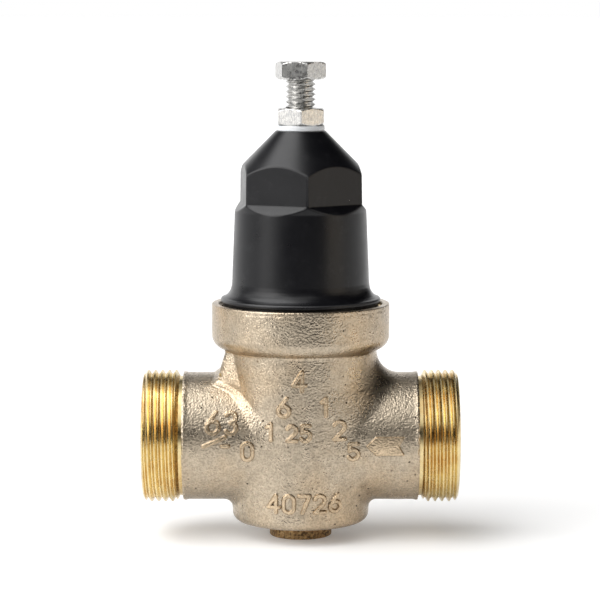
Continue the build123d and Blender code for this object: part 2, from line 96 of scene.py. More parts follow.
class ValveSizes(bpy.types.PropertyGroup):
    """Sizes of the visible pieces. Overall places come from the CAD frame."""

    port_height: length("Port axis height", "Height of the ports' common axis", 32.0 * MM)
    port_bore: length("Port bore radius", "Radius of the waterway", 12.7 * MM)
    neck_radius: length("Neck radius", "Radius of the cast neck behind a thread", 20.3 * MM)
    neck_reach: length("Neck reach", "Distance from the stem axis to the end of a neck", 37.3 * MM)
    undercut_radius: length("Undercut radius", "Relief between neck and thread", 19.1 * MM)
    union_start: length("Thread start", "Where the union thread begins", 38.4 * MM)
    union_radius: length("Thread radius", "Major radius of the union thread", 21.0 * MM)
    union_pitch: length("Thread pitch", "Pitch of the union thread", 25.4 / 11.5 * MM)
    union_depth: length("Thread depth", "Depth of the union thread", 1.2 * MM)
    barrel_low: length("Barrel foot radius", "Barrel radius just above its rounded foot", 21.6 * MM)
    barrel_mid: length("Barrel port radius", "Barrel radius at the port axis", 23.6 * MM)
    barrel_high: length("Barrel top radius", "Barrel radius under the collar", 24.2 * MM)
    collar_radius: length("Collar radius", "Outer radius of the collar", 28.2 * MM)
    collar_foot: length("Collar foot", "Where the collar's bevel meets the barrel", 60.4 * MM)
    collar_round: length("Collar bevel radius", "Radius of the collar's lower edge", 4.4 * MM)
    relief: length("Relief", "Height of the raised arrow and figures", 0.68 * MM)
    bolt_radius: length("Bolt radius", "Major radius of the adjusting bolt's thread", 4.725 * MM)
    bolt_pitch: length("Bolt pitch", "Pitch of the adjusting bolt's thread", 25.4 / 16 * MM)
    bolt_depth: length("Bolt thread depth", "Depth of the adjusting bolt's thread", 0.92 * MM)
    wrench_size: length("Hexagon size", "Across flats of bolt head and lock nut", 14.29 * MM)


class ValveColours(bpy.types.PropertyGroup):
    """Base colours of the finishes."""

    casting: colour("Casting", "Shot-blasted casting", (0.490, 0.412, 0.312))
    casting_warm: colour("Casting tint", "Warm tint in the casting", (0.53, 0.405, 0.27))
    # the raised marks are lighter than the casting: partly a copper tint, partly a painted
    # highlight
    casting_raised: colour("Raised marks", "Copper tint and painted highlight of the raised marks", (0.60, 0.47, 0.32))
    brass: colour("Machined brass", "Threads, bores and end faces", (0.80, 0.66, 0.36))
    plug: colour("Plug", "Bottom plug", (0.27, 0.16, 0.07))
    bell: colour("Bell", "Moulded spring housing", (0.0030, 0.0030, 0.0042))
    zinc: colour("Zinc plate", "Bolt and lock nut", (0.70, 0.69, 0.665))
    nylon: colour("Washer", "Sealing washer", (0.80, 0.82, 0.84))
    stainless: colour("Stainless", "Stem, seat and screen", (0.58, 0.57, 0.55))
    spring: colour("Spring steel", "Springs", (0.20, 0.20, 0.21))
    rubber: colour("Rubber", "Diaphragm, disc and ring seal", (0.012, 0.012, 0.012))
    acetal: colour("Dark acetal", "Cartridge", (0.025, 0.025, 0.028))
    natural: colour("Natural acetal", "Guide bush and slip ring", (0.72, 0.70, 0.63))
    fibre: colour("Fibre", "Seal under the bottom plug", (0.22, 0.05, 0.03))


# ------------------------------------------------------------------ shader helpers


class Finish:
    """A node material under construction, with a Principled shader at its end."""

    def __init__(self, name, base, metallic, roughness):
        self.material = bpy.data.materials.new(name)
        self.material.use_nodes = True
        self.tree = self.material.node_tree
        self.shader = self.tree.nodes["Principled BSDF"]
        self.shader.inputs["Base Color"].default_value = (*base, 1)
        self.shader.inputs["Metallic"].default_value = metallic
        self.shader.inputs["Roughness"].default_value = roughness
        self.place = self.node("ShaderNodeTexCoord").outputs["Object"]
        self.height = None

    def node(self, kind, inputs=None, **settings):
        """Add a node, set its own settings, and set or link its inputs."""
        made = self.tree.nodes.new(kind)
        for key, value in settings.items():
            setattr(made, key, value)
        for key, value in (inputs or {}).items():
            if isinstance(value, bpy.types.NodeSocket):
                self.tree.links.new(value, made.inputs[key])
            else:
                made.inputs[key].default_value = value
        return made

    def noise(self, scale, detail=3.0, roughness=0.55, stretch=None):
        """Noise from 0 to 1 at so many cells to the metre."""
        place = self.place
        if stretch:
            place = self.node("ShaderNodeMapping", {"Vector": place, "Scale": stretch}).outputs[0]
        made = self.node(
            "ShaderNodeTexNoise",
            {"Vector": place, "Scale": scale, "Detail": detail, "Roughness": roughness},
        )
        return made.outputs[0]

    def cells(self, scale, feature="F1"):
        """Distance to the nearest of scattered points."""
        made = self.node(
            "ShaderNodeTexVoronoi", {"Vector": self.place, "Scale": scale}, feature=feature
        )
        return made.outputs["Distance"]

    def ramp(self, value, start, end, low_value=0.0, high_value=1.0):
        """Map start..end to low..high, held outside."""
        made = self.node(
            "ShaderNodeMapRange",
            {0: value, 1: start, 2: end, 3: low_value, 4: high_value},
            clamp=True,
        )
        return made.outputs[0]

    def math(self, operation, first, second=0.0):
        """One arithmetic step."""
        return self.node("ShaderNodeMath", {0: first, 1: second}, operation=operation).outputs[0]

    def mix(self, factor, first, second, blend="MIX"):
        """Blend two colours."""
        made = self.node("ShaderNodeMix", data_type="RGBA", blend_type=blend)
        for socket, value in ((0, factor), (6, first), (7, second)):
            if isinstance(value, bpy.types.NodeSocket):
                self.tree.links.new(value, made.inputs[socket])
            elif socket == 0:
                made.inputs[0].default_value = value
            else:
                made.inputs[socket].default_value = (*value, 1)
        return made.outputs[2]

    def set(self, socket, value):
        """Link a varying value to the shader."""
        self.tree.links.new(value, self.shader.inputs[socket])

    def bump(self, height, distance, strength=1.0):
        """Stack a bump of so many metres on the ones already made."""
        inputs = {"Height": height, "Distance": distance, "Strength": strength}
        if self.height:
            inputs["Normal"] = self.height
        self.height = self.node("ShaderNodeBump", inputs).outputs[0]
        self.set("Normal", self.height)


def cast_finish(colours, name, tint):
    """Shot-blasted bronze: fine orange peel, pits, stains and patches of warmer metal; painted
    shade in the pits and hollows, painted light and shade on the peel.
    """
    f = Finish(name, tint, 0.96, 0.28)
    patches = f.noise(38, 3.0)
    tone = f.mix(f.ramp(patches, 0.45, 0.70), tint, colours.casting_warm)
    mottle = f.ramp(f.noise(420, 4.0, 0.6), 0.3, 0.7, 0.84, 1.08)
    pebble = f.noise(1760, 1.2, 0.5)
    # painted light and shade: the colour follows the peel's bump, lighter on its tops and darker in
    # its dips
    mottle = f.math("MULTIPLY", mottle, f.ramp(pebble, 0.36, 0.60, 0.80, 1.08))
    grey = f.node("ShaderNodeCombineColor", {0: mottle, 1: mottle, 2: mottle}).outputs[0]
    tone = f.mix(1.0, tone, grey, "MULTIPLY")
    pits = f.ramp(f.cells(330), 0.070, 0.115, 1.0, 0.0)
    rare = f.ramp(f.noise(95, 2.0), 0.46, 0.54)
    pits = f.math("MULTIPLY", pits, rare)
    # painted shade: the pits are painted near-black as well as dented by the bump
    tone = f.mix(f.math("MULTIPLY", pits, 0.9), tone, (0.03, 0.022, 0.015))
    # painted shade: the hollows and fillets, where pointiness is low, are darkened in the base
    # colour
    hollow_shade = f.node("ShaderNodeNewGeometry").outputs["Pointiness"]
    tone = f.mix(f.ramp(hollow_shade, 0.47, 0.40, 0.0, 0.55), tone, (0.10, 0.075, 0.05))
    f.set("Base Color", tone)
    f.set("Roughness", f.ramp(f.noise(260, 3.0), 0.3, 0.7, 0.24, 0.34))
    f.bump(pebble, 0.00024, 0.85)
    f.bump(f.cells(1300, "SMOOTH_F1"), 0.00012, 0.5)
    f.bump(f.math("MULTIPLY", pits, -1.0), 0.0004)
    return f.material


def machined_finish(colours):
    """Turned brass with tool marks, tarnish and small stains."""
    f = Finish("machined_brass", colours.brass, 1.0, 0.24)
    tarnish = f.ramp(f.noise(120, 5.0, 0.65), 0.40, 0.72)
    tone = f.mix(tarnish, colours.brass, (0.60, 0.40, 0.16))
    spots = f.ramp(f.cells(420), 0.03, 0.08, 0.75, 0.0)
    rare = f.ramp(f.noise(70, 2.0), 0.52, 0.60)
    tone = f.mix(f.math("MULTIPLY", spots, rare), tone, (0.08, 0.05, 0.02))
    f.set("Base Color", tone)
    f.set("Roughness", f.ramp(f.noise(300, 4.0), 0.3, 0.7, 0.20, 0.32))
    f.bump(f.noise(60, 2.0, 0.5, (60, 1, 1)), 0.00001, 0.4)
    f.bump(f.noise(900, 2.0), 0.00001, 0.3)
    return f.material


def plug_finish(colours):
    """Dull dark bronze with a sandy skin."""
    f = Finish("plug_bronze", colours.plug, 0.75, 0.55)
    tone = f.mix(f.ramp(f.noise(700, 4.0, 0.65), 0.40, 0.62), colours.plug, (0.50, 0.33, 0.15))
    grime = f.ramp(f.noise(1100, 3.0), 0.40, 0.52, 0.8, 0.0)
    tone = f.mix(grime, tone, (0.05, 0.035, 0.02))
    f.set("Base Color", tone)
    f.set("Roughness", f.ramp(f.noise(500, 3.0), 0.3, 0.7, 0.42, 0.66))
    f.bump(f.noise(1300, 3.0), 0.00030, 0.9)
    return f.material


def bell_finish(colours):
    """Satin black moulded plastic with a very fine grain, painted highlights on the edges, and
    dust.
    """
    f = Finish("bell_plastic", colours.bell, 0.0, 0.34)
    f.shader.inputs["Specular IOR Level"].default_value = 0.34
    cloud = f.ramp(f.noise(60, 4.0), 0.3, 0.75)
    tone = f.mix(cloud, colours.bell, (0.006, 0.006, 0.0075))
    # painted highlight: the convex edges, where pointiness is high, are lightened in the base
    # colour
    edge_highlight = f.node("ShaderNodeNewGeometry").outputs["Pointiness"]
    tone = f.mix(f.ramp(edge_highlight, 0.52, 0.57, 0.0, 0.6), tone, (0.14, 0.14, 0.145))
    dust = f.ramp(f.cells(300), 0.020, 0.045, 0.8, 0.0)
    dust = f.math("MULTIPLY", dust, f.ramp(f.noise(55, 2.0), 0.56, 0.62))
    tone = f.mix(dust, tone, (0.30, 0.29, 0.27))
    haze = f.ramp(f.noise(190, 5.0, 0.7), 0.55, 0.75, 0.0, 0.5)
    tone = f.mix(haze, tone, (0.020, 0.020, 0.022))
    f.set("Base Color", tone)
    f.set("Roughness", f.ramp(f.noise(140, 4.0), 0.3, 0.7, 0.27, 0.34))
    f.bump(f.noise(3600, 2.0), 0.000006, 0.4)
    f.bump(f.noise(150, 2.0), 0.00004, 0.3)
    return f.material


def zinc_finish(colours):
    """Bright zinc plate with spangle, die marks and painted shade in the corners."""
    f = Finish("zinc_plate", colours.zinc, 1.0, 0.36)
    spangle = f.ramp(f.noise(2200, 4.0, 0.6, (1, 1, 0.4)), 0.40, 0.66)
    tone = f.mix(spangle, colours.zinc, (0.42, 0.42, 0.42))
    # painted shade: the corners and thread roots, where pointiness is low, are darkened in the base
    # colour
    hollow_shade = f.node("ShaderNodeNewGeometry").outputs["Pointiness"]
    tone = f.mix(f.ramp(hollow_shade, 0.46, 0.38, 0.0, 0.6), tone, (0.12, 0.11, 0.10))
    f.set("Base Color", tone)
    f.set("Roughness", f.ramp(f.noise(700, 4.0), 0.3, 0.7, 0.22, 0.36))
    f.bump(f.noise(1600, 2.0), 0.00003, 0.4)
    f.bump(f.noise(700, 2.0, 0.5, (1, 1, 0.15)), 0.00003, 0.3)
    return f.material


def plain_metal_finish(name, tone, dark, roughness):
    """Turned or drawn metal that is hardly seen: fine grain and faint stains."""
    f = Finish(name, tone, 1.0, roughness)
    f.set("Base Color", f.mix(f.ramp(f.noise(260, 4.0), 0.4, 0.7), tone, dark))
    f.set("Roughness", f.ramp(f.noise(500, 3.0), 0.3, 0.7, roughness - 0.08, roughness + 0.1))
    f.bump(f.noise(1400, 2.0, 0.5, (1, 1, 8)), 0.00002, 0.5)
    return f.material


def polymer_finish(name, tone, shade, roughness, grain):
    """Moulded plastic, rubber or fibre with a soft grain and slight clouding."""
    f = Finish(name, tone, 0.0, roughness)
    f.set("Base Color", f.mix(f.ramp(f.noise(130, 4.0), 0.35, 0.7), tone, shade))
    f.set("Roughness", f.ramp(f.noise(400, 3.0), 0.3, 0.7, roughness - 0.07, roughness + 0.07))
    f.bump(f.noise(2200, 2.0), grain, 0.6)
    return f.material


# ------------------------------------------------------------------ mesh helpers


def new_object(name, points, faces):
    """A mesh object in the scene."""
    mesh = bpy.data.meshes.new(name)
    mesh.from_pydata([tuple(p) for p in points], [], faces)
    mesh.validate()
    made = bpy.data.objects.new(name, mesh)
    bpy.context.scene.collection.objects.link(made)
    return made


def place_piece(piece, body, nodes, materials):
    """Give a piece its body and finishes, and hide the CAD nodes it replaces."""
    piece.data.materials.clear()
    for material in materials:
        piece.data.materials.append(material)
    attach(piece, body)
    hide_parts(*nodes)


def smooth_by_angle(piece, limit):
    """Smooth shading, with edges sharper than limit degrees kept sharp."""
    mesh = bmesh.new()
    mesh.from_mesh(piece.data)
    for face in mesh.faces:
        face.smooth = True
    for edge in mesh.edges:
        if len(edge.link_faces) == 2:
            edge.smooth = edge.calc_face_angle(0) < radians(limit)
    mesh.to_mesh(piece.data)
    mesh.free()


def spaced(outline, step):
    """Points along straight runs of an outline, no further apart than step."""
    points = []
    for start, end in zip(outline, outline[1:]):
        run = sqrt((end[0] - start[0]) ** 2 + (end[1] - start[1]) ** 2)
        count = max(1, round(run / step))
        for i in range(count):
            t = i / count
            points.append((start[0] + (end[0] - start[0]) * t, start[1] + (end[1] - start[1]) * t))
    points.append(outline[-1])
    return points


def arc_points(centre, radius, start, end, steps):
    """Points of an arc in an outline, angles in degrees."""
    turns = np.radians(np.linspace(start, end, steps + 1))
    return [(centre[0] + radius * cos(t), centre[1] + radius * sin(t)) for t in turns]


def lathe(name, outline, columns, shape=None):
    """Turn an outline of (radius, height) about Z. A closed outline repeats its first point.

    shape(radius, height, angle) may change the radii. Outlines that start and end on the axis
    are capped there.
    """
    closed = outline[0] == outline[-1]
    rows = outline[:-1] if closed else outline
    angle = np.arange(columns) * 2 * pi / columns
    radius = np.array([p[0] for p in rows])[:, None] + 0 * angle[None, :]
    height = np.array([p[1] for p in rows])[:, None] + 0 * angle[None, :]
    turn = angle[None, :] + 0 * radius
    if shape:
        radius = shape(radius, height, turn)
    grid = np.stack([radius * np.cos(turn), radius * np.sin(turn), height], axis=-1)
    points, faces, index = [], [], []
    for row, ring in enumerate(grid):
        if rows[row][0] == 0:
            index.append([len(points)] * columns)
            points.append(ring[0])
        else:
            index.append(list(range(len(points), len(points) + columns)))
            points.extend(ring)
    pairs = [(i, i + 1) for i in range(len(rows) - 1)]
    if closed:
        pairs.append((len(rows) - 1, 0))
    for lower, upper in pairs:
        for c in range(columns):
            d = (c + 1) % columns
            corners = [index[lower][c], index[lower][d], index[upper][d], index[upper][c]]
            face = []
            for corner in corners:
                if corner not in face:
                    face.append(corner)
            if len(face) > 2:
                faces.append(face)
    return new_object(name, points, faces)


def soft_min(first, second, blend):
    """The lesser of two values, rounded where they cross."""
    h = np.clip(0.5 + 0.5 * (second - first) / blend, 0, 1)
    return second + (first - second) * h - blend * h * (1 - h)


def hexagon_reach(angle, apothem, turn):
    """Distance from the centre to a hexagon's side in each direction, corner at turn radians."""
    around = np.mod(angle - turn, pi / 3) - pi / 6
    return apothem / np.cos(around)


def thread_height(phase):
    """Height from 0 at the root to 1 at the crest of a V thread with flats, phase in turns."""
    wave = np.abs(np.mod(phase, 1.0) - 0.5) * 2
    return np.clip((wave - 0.16) / 0.62, 0, 1)


def helical_rod(name, profile, pitch, columns, start, end):
    """A closed rod along Z with a right-hand thread, past both ends by at least a turn.

    profile lists (radius, share of the pitch) from root to crest.
    """
    turns = int((end - start) / pitch) + 3
    first = start - 1.5 * pitch
    last, rows = columns * turns, len(profile)
    points, index = [], {}
    for c in range(last + columns + 1):
        turn = 2 * pi * c / columns
        for j, (radius, share) in enumerate(profile):
            if c <= last or j == 0:
                index[c, j] = len(points)
                height = first + pitch * (c / columns + share)
                points.append((radius * cos(turn), radius * sin(turn), height))
    for c in range(last + 1):
        index[c, rows] = index[c + columns, 0]
    faces = []
    for c in range(last):
        for j in range(rows):
            faces.append([index[c, j], index[c + 1, j], index[c + 1, j + 1], index[c, j + 1]])
    # each end is closed by a fan over one turn of the root
    for base, height in ((0, first), (last, first + pitch * (turns + 1))):
        rim = [index[base + c, 0] for c in range(columns + 1)]
        rim += [index[base, j] for j in range(rows - 1, 0, -1)]
        middle = len(points)
        points.append((0, 0, height))
        for a, b in zip(rim, rim[1:] + rim[:1]):
            faces.append([middle, b, a] if base == 0 else [middle, a, b])
    rod = new_object(name, points, faces)
    outward(rod)
    return rod


def boolean(piece, tool, operation):
    """Cut or join a closed mesh with another and remove the tool."""
    modifier = piece.modifiers.new("boolean", "BOOLEAN")
    modifier.operation = operation
    modifier.solver = "MANIFOLD"
    modifier.object = tool
    graph = bpy.context.evaluated_depsgraph_get()
    result = bpy.data.meshes.new_from_object(piece.evaluated_get(graph))
    piece.modifiers.clear()
    if not len(result.polygons):
        raise RuntimeError(f"{operation} with {tool.name} left nothing of {piece.name}")
    piece.data = result
    bpy.data.objects.remove(tool)


def along_x(piece, height, side):
    """Lay a turned piece down so that its axis points along X at a height."""
    points = np.empty(len(piece.data.vertices) * 3)
    piece.data.vertices.foreach_get("co", points)
    points = points.reshape(-1, 3)
    laid = np.stack([side * points[:, 2], -side * points[:, 1], height + points[:, 0]], axis=1)
    piece.data.vertices.foreach_set("co", laid.ravel())
    piece.data.update()
    outward(piece)


def outward(piece):
    """Make all faces point outwards."""
    mesh = bmesh.new()
    mesh.from_mesh(piece.data)
    bmesh.ops.recalc_face_normals(mesh, faces=mesh.faces)
    mesh.to_mesh(piece.data)
    mesh.free()


# ------------------------------------------------------------------ the casting's shape


def lattice(cell):
    """Repeatable pseudo-random value of each whole-number cell."""
    mixed = np.sin(cell[..., 0] * 127.1 + cell[..., 1] * 311.7 + cell[..., 2] * 74.7) * 43758.5453
    return mixed - np.floor(mixed)


def value_noise(points, scale):
    """Smooth noise from -1 to 1 with cells of one over scale metres."""
    place = points * scale
    base = np.floor(place)
    part = place - base
    part = part * part * (3 - 2 * part)
    total = 0
    for dx in (0, 1):
        for dy in (0, 1):
            for dz in (0, 1):
                weight = (
                    (part[:, 0] if dx else 1 - part[:, 0])
                    * (part[:, 1] if dy else 1 - part[:, 1])
                    * (part[:, 2] if dz else 1 - part[:, 2])
                )
                total = total + weight * lattice(base + (dx, dy, dz))
    return total * 2 - 1


def rounded_cut(first, second, radius):
    """Intersection of two solids with a rounded outer edge."""
    u = np.maximum(first + radius, 0)
    v = np.maximum(second + radius, 0)
    return np.minimum(np.maximum(first, second), -radius) + np.hypot(u, v)


def filleted_join(first, second, radius):
    """Union of two solids with a hollow fillet in the corner."""
    u = np.maximum(radius - first, 0)
    v = np.maximum(radius - second, 0)
    return np.maximum(np.minimum(first, second), radius) - np.hypot(u, v)


def webbed_join(first, second, width):
    """Union of two solids with a flat web across the corner."""
    web = (first + second - width) * sqrt(0.5)
    return np.minimum(np.minimum(first, second), web)


def smooth_step(value, start, end):
    """From 0 at start to 1 at end."""
    t = np.clip((value - start) / (end - start), 0, 1)
    return t * t * (3 - 2 * t)


def cast_ends():
    """Lowest and highest point of the cast skin. The turned rim stands above it."""
    return low("bottom_plug_seal")[2] + 0.8 * MM, high("valve_body")[2] - 0.9 * MM


def casting_distance(p, s):
    """Signed distance from the cast skin, without its raised marks."""
    x, y, z = p[:, 0], p[:, 1], p[:, 2]
    around = np.hypot(x, y)
    foot, top = cast_ends()
    barrel_radius = np.interp(
        z,
        [foot, foot + 9 * MM, s.port_height, s.collar_foot],
        [s.barrel_low, s.barrel_low + 0.4 * MM, s.barrel_mid, s.barrel_high],
    )
    barrel = rounded_cut(around - barrel_radius, foot - z, 2.6 * MM)
    barrel = np.maximum(barrel, z - top + 2 * MM)
    # on the outlet side the barrel is drawn out to a flat-sided web above the neck
    azimuth = np.abs(np.arctan2(y, -x))
    near = np.minimum(azimuth, 1.2)
    climb = z - 52.2 * MM
    back_face = (26.0 * MM - 0.30 * climb) / np.cos(near)
    side_face = (22.5 * MM - 0.13 * climb) / np.cos(near - radians(57))
    drawn = np.minimum(back_face, side_face) - barrel_radius
    drawn = drawn * (1 - smooth_step(azimuth, radians(42), radians(52)))
    drawn = np.maximum(drawn, 0) * smooth_step(z, 46.5 * MM, 51 * MM)
    barrel = barrel - np.where(x < 0, drawn, 0)
    neck = np.hypot(y, z - s.port_height) - s.neck_radius
    bead = smooth_step(np.abs(x), s.neck_reach - 1.6 * MM, s.neck_reach - 0.6 * MM)
    neck = neck - 0.22 * MM * bead
    neck = rounded_cut(neck, np.abs(x) - s.neck_reach, 0.35 * MM)
    upper = smooth_step(z, s.port_height, s.port_height + 17 * MM)
    round_corner = filleted_join(barrel, neck, 2.4 * MM + 5.2 * MM * upper)
    flat_corner = webbed_join(barrel, neck, 1.55 * MM)
    flat_share = np.where(x < 0, smooth_step(z, s.port_height + 2 * MM, s.port_height + 6 * MM), 0)
    round_corner = np.where(x < 0, filleted_join(barrel, neck, 2.6 * MM), round_corner)
    shell = round_corner + (flat_corner - round_corner) * flat_share
    collar = rounded_cut(around - s.collar_radius, s.collar_foot - z, s.collar_round)
    collar = rounded_cut(collar, z - top, 0.3 * MM)
    return filleted_join(shell, collar, 0.9 * MM)


def stroke_distance(u, v, points):
    """Distance from a chain of straight strokes."""
    nearest = np.full(u.shape, 1.0)
    for (ax, ay), (bx, by) in zip(points, points[1:]):
        px, py, dx, dy = u - ax, v - ay, bx - ax, by - ay
        t = np.clip((px * dx + py * dy) / (dx * dx + dy * dy), 0, 1)
        nearest = np.minimum(nearest, np.hypot(px - dx * t, py - dy * t))
    return nearest


def figure_strokes(figure):
    """Strokes of a plain figure in a box 0.6 wide and 1 high."""
    shapes = {
        "0": [
            arc_points((0.3, 0.7), 0.3, 0, 180, 8)
            + arc_points((0.3, 0.3), 0.3, 180, 360, 8)
            + [(0.6, 0.7)]
        ],
        "1": [[(0.12, 0.78), (0.36, 1.0), (0.36, 0.0)]],
        "2": [arc_points((0.3, 0.7), 0.3, 160, -35, 8) + [(0.02, 0.0), (0.6, 0.0)]],
        "3": [
            arc_points((0.28, 0.75), 0.25, 150, -90, 8)
            + arc_points((0.28, 0.25), 0.27, 80, -150, 8)
        ],
        "4": [[(0.45, 0.0), (0.45, 1.0), (0.0, 0.3), (0.62, 0.3)]],
        "5": [
            [(0.55, 1.0), (0.08, 1.0), (0.05, 0.55)]
            + arc_points((0.28, 0.32), 0.32, 120, -150, 9)
        ],
        "6": [[(0.45, 1.0), (0.05, 0.45)] + arc_points((0.3, 0.3), 0.3, 160, -200, 12)],
        "7": [[(0.0, 1.0), (0.6, 1.0), (0.2, 0.0)]],
    }
    return shapes[figure]


MARKS = (
    # figures, foot of the first one (x, z) and height, in millimetres
    ("4", (-2.3, 49.9), 6.0),
    ("6", (-7.0, 41.8), 5.8),
    ("1", (5.9, 42.0), 5.4),
    ("1", (-11.2, 34.2), 5.2),
    ("25", (-4.2, 34.2), 4.8),
    ("2", (10.4, 34.4), 5.6),
    ("0", (-18.3, 27.6), 5.4),
    ("5", (15.0, 27.8), 5.0),
    ("63", (-29.4, 36.0), 6.4),
    ("40726", (-10.2, 11.2), 5.4),
)


def marks_height(p, s):
    """Height of the raised figures, bar and flow arrow at each point of the front."""
    u, v = p[:, 0], p[:, 2]
    nearest = np.full(u.shape, 1.0)
    for figures, (start_x, start_z), tall in MARKS:
        for i, figure in enumerate(figures):
            for strokes in figure_strokes(figure):
                placed = [
                    ((start_x + (i * 0.9 + a) * tall) * MM, (start_z + b * tall) * MM)
                    for a, b in strokes
                ]
                nearest = np.minimum(nearest, stroke_distance(u, v, placed) - 0.45 * MM)
    middle = s.port_height
    bar = [(-30.3 * MM, middle), (-23.8 * MM, middle + 2.8 * MM)]
    nearest = np.minimum(nearest, stroke_distance(u, v, bar) - 0.5 * MM)
    bar = [(-24.6 * MM, middle), (-22.6 * MM, middle)]
    nearest = np.minimum(nearest, stroke_distance(u, v, bar) - 0.45 * MM)
    tip, tail, half = 20.6 * MM, 32.3 * MM, 2.9 * MM
    rise = np.abs(v - middle)
    arrow = np.maximum(rise - half, tip - u + rise)
    arrow = np.maximum(arrow, u - tail + 0.55 * (half - rise))
    nearest = np.minimum(nearest, arrow + 0.05 * MM)
    height = smooth_step(nearest, 0.30 * MM, -0.05 * MM)
    return height * smooth_step(p[:, 1], -5 * MM, -8 * MM)


def skin_distance(p, s):
    """Signed distance from the cast skin with its raised marks."""
    distance = casting_distance(p, s)
    front = p[:, 1] < -5 * MM
    distance[front] -= s.relief * marks_height(p[front], s)
    return distance


def slope(p, s, field):
    """Gradient of a distance field."""
    step = 0.05 * MM
    parts = []
    for axis in range(3):
        shift = np.zeros(3)
        shift[axis] = step
        parts.append((field(p + shift, s) - field(p - shift, s)) / (2 * step))
    return np.stack(parts, axis=1)


def settle(p, s, field, rounds):
    """Move points onto a field's surface, along the slope of the plain casting."""
    for _ in range(rounds):
        g = slope(p, s, casting_distance)
        d = field(p, s)
        move = d / np.maximum((g * g).sum(axis=1), 0.2)
        p = p - g * np.clip(move, -1.5 * MM, 1.5 * MM)[:, None]
    return p


def read_points(mesh):
    """Vertex positions of a mesh."""
    points = np.empty(len(mesh.vertices) * 3)
    mesh.vertices.foreach_get("co", points)
    return points.reshape(-1, 3)


def write_points(mesh, points):
    """Set vertex positions of a mesh."""
    mesh.vertices.foreach_set("co", points.astype(np.float32).ravel())
    mesh.update()


def even_out(mesh, points, s, rounds):
    """Slide points along the surface to even their spacing."""
    edges = np.empty(len(mesh.edges) * 2, dtype=int)
    mesh.edges.foreach_get("vertices", edges)
    a, b = edges.reshape(-1, 2).T
    count = np.bincount(a, minlength=len(points)) + np.bincount(b, minlength=len(points))
    for _ in range(rounds):
        total = np.zeros_like(points)
        for axis in range(3):
            total[:, axis] += np.bincount(a, points[b, axis], len(points))
            total[:, axis] += np.bincount(b, points[a, axis], len(points))
        points = points + 0.6 * (total / count[:, None] - points)
        points = settle(points, s, casting_distance, 2)
    return points


def refine_marks(mesh, s, cuts):
    """Split the faces under the raised marks so that they come out crisp."""
    work = bmesh.new()
    work.from_mesh(mesh)
    work.verts.ensure_lookup_table()
    points = np.array([v.co for v in work.verts])
    grown = np.zeros(len(points), dtype=bool)
    for dx, dz in ((0, 0), (0.7, 0), (-0.7, 0), (0, 0.7), (0, -0.7)):
        grown |= marks_height(points + np.array((dx, 0, dz)) * MM, s) > 0.02
    chosen = [e for e in work.edges if grown[e.verts[0].index] and grown[e.verts[1].index]]
    bmesh.ops.subdivide_edges(work, edges=chosen, cuts=cuts, use_grid_fill=True)
    bmesh.ops.triangulate(work, faces=[f for f in work.faces if len(f.verts) > 4])
    work.to_mesh(mesh)
    work.free()


def cast_skin(s):
    """The outer casting as one closed mesh."""
    foot, top = cast_ends()
    outline = [
        (0, foot),
        (s.barrel_low, foot),
        (s.barrel_high, s.collar_foot),
        (s.collar_radius, s.collar_foot + s.collar_round),
        (s.collar_radius, top),
        (0, top),
    ]
    base = lathe("casting_base", outline, 96)
    reach, radius = s.neck_reach, s.neck_radius
    neck = lathe("neck_base", [(0, -reach), (radius, -reach), (radius, reach), (0, reach)], 96)
    along_x(neck, s.port_height, 1)
    outward(base)
    boolean(base, neck, "UNION")
    remesh = base.modifiers.new("remesh", "REMESH")
    remesh.mode = "VOXEL"
    remesh.voxel_size = 0.52 * MM
    graph = bpy.context.evaluated_depsgraph_get()
    mesh = bpy.data.meshes.new_from_object(base.evaluated_get(graph))
    bpy.data.objects.remove(base)
    points = settle(read_points(mesh), s, casting_distance, 6)
    points = even_out(mesh, points, s, 6)
    write_points(mesh, points)
    refine_marks(mesh, s, 3)
    points = settle(read_points(mesh), s, skin_distance, 4)
    normal = slope(points, s, casting_distance)
    normal /= np.maximum(np.linalg.norm(normal, axis=1), 0.2)[:, None]
    peel = 0.014 * MM * value_noise(points, 1500) + 0.04 * MM * value_noise(points + 3, 230)
    write_points(mesh, points + normal * peel[:, None])
    skin = bpy.data.objects.new("valve_casting", mesh)
    bpy.context.scene.collection.objects.link(skin)
    return skin


def union_end(s, side):
    """A machined port end: undercut, helical thread and chamfered end, as one closed solid."""
    reach = high("valve_body")[0]
    root, crest = s.union_radius - s.union_depth, s.union_radius
    profile = [(root, 0.0), (root, 0.14), (crest, 0.47), (crest, 0.66)]
    rod = helical_rod("union_end", profile, s.union_pitch, 192, s.neck_reach, reach)
    limit = lathe(
        "union_limit",
        [
            (0, s.neck_reach - 2 * MM),
            (s.undercut_radius, s.neck_reach - 2 * MM),
            (s.undercut_radius, s.union_start),
            (crest + 0.4 * MM, s.union_start + 1.3 * MM),
            (crest + 0.4 * MM, reach - 1.5 * MM),
            (crest - 0.55 * MM, reach - 0.55 * MM),
            (root - 0.3 * MM, reach),
            (0, reach),
        ],
        192,
    )
    outward(limit)
    boolean(rod, limit, "INTERSECT")
    along_x(rod, s.port_height, side)
    return rod


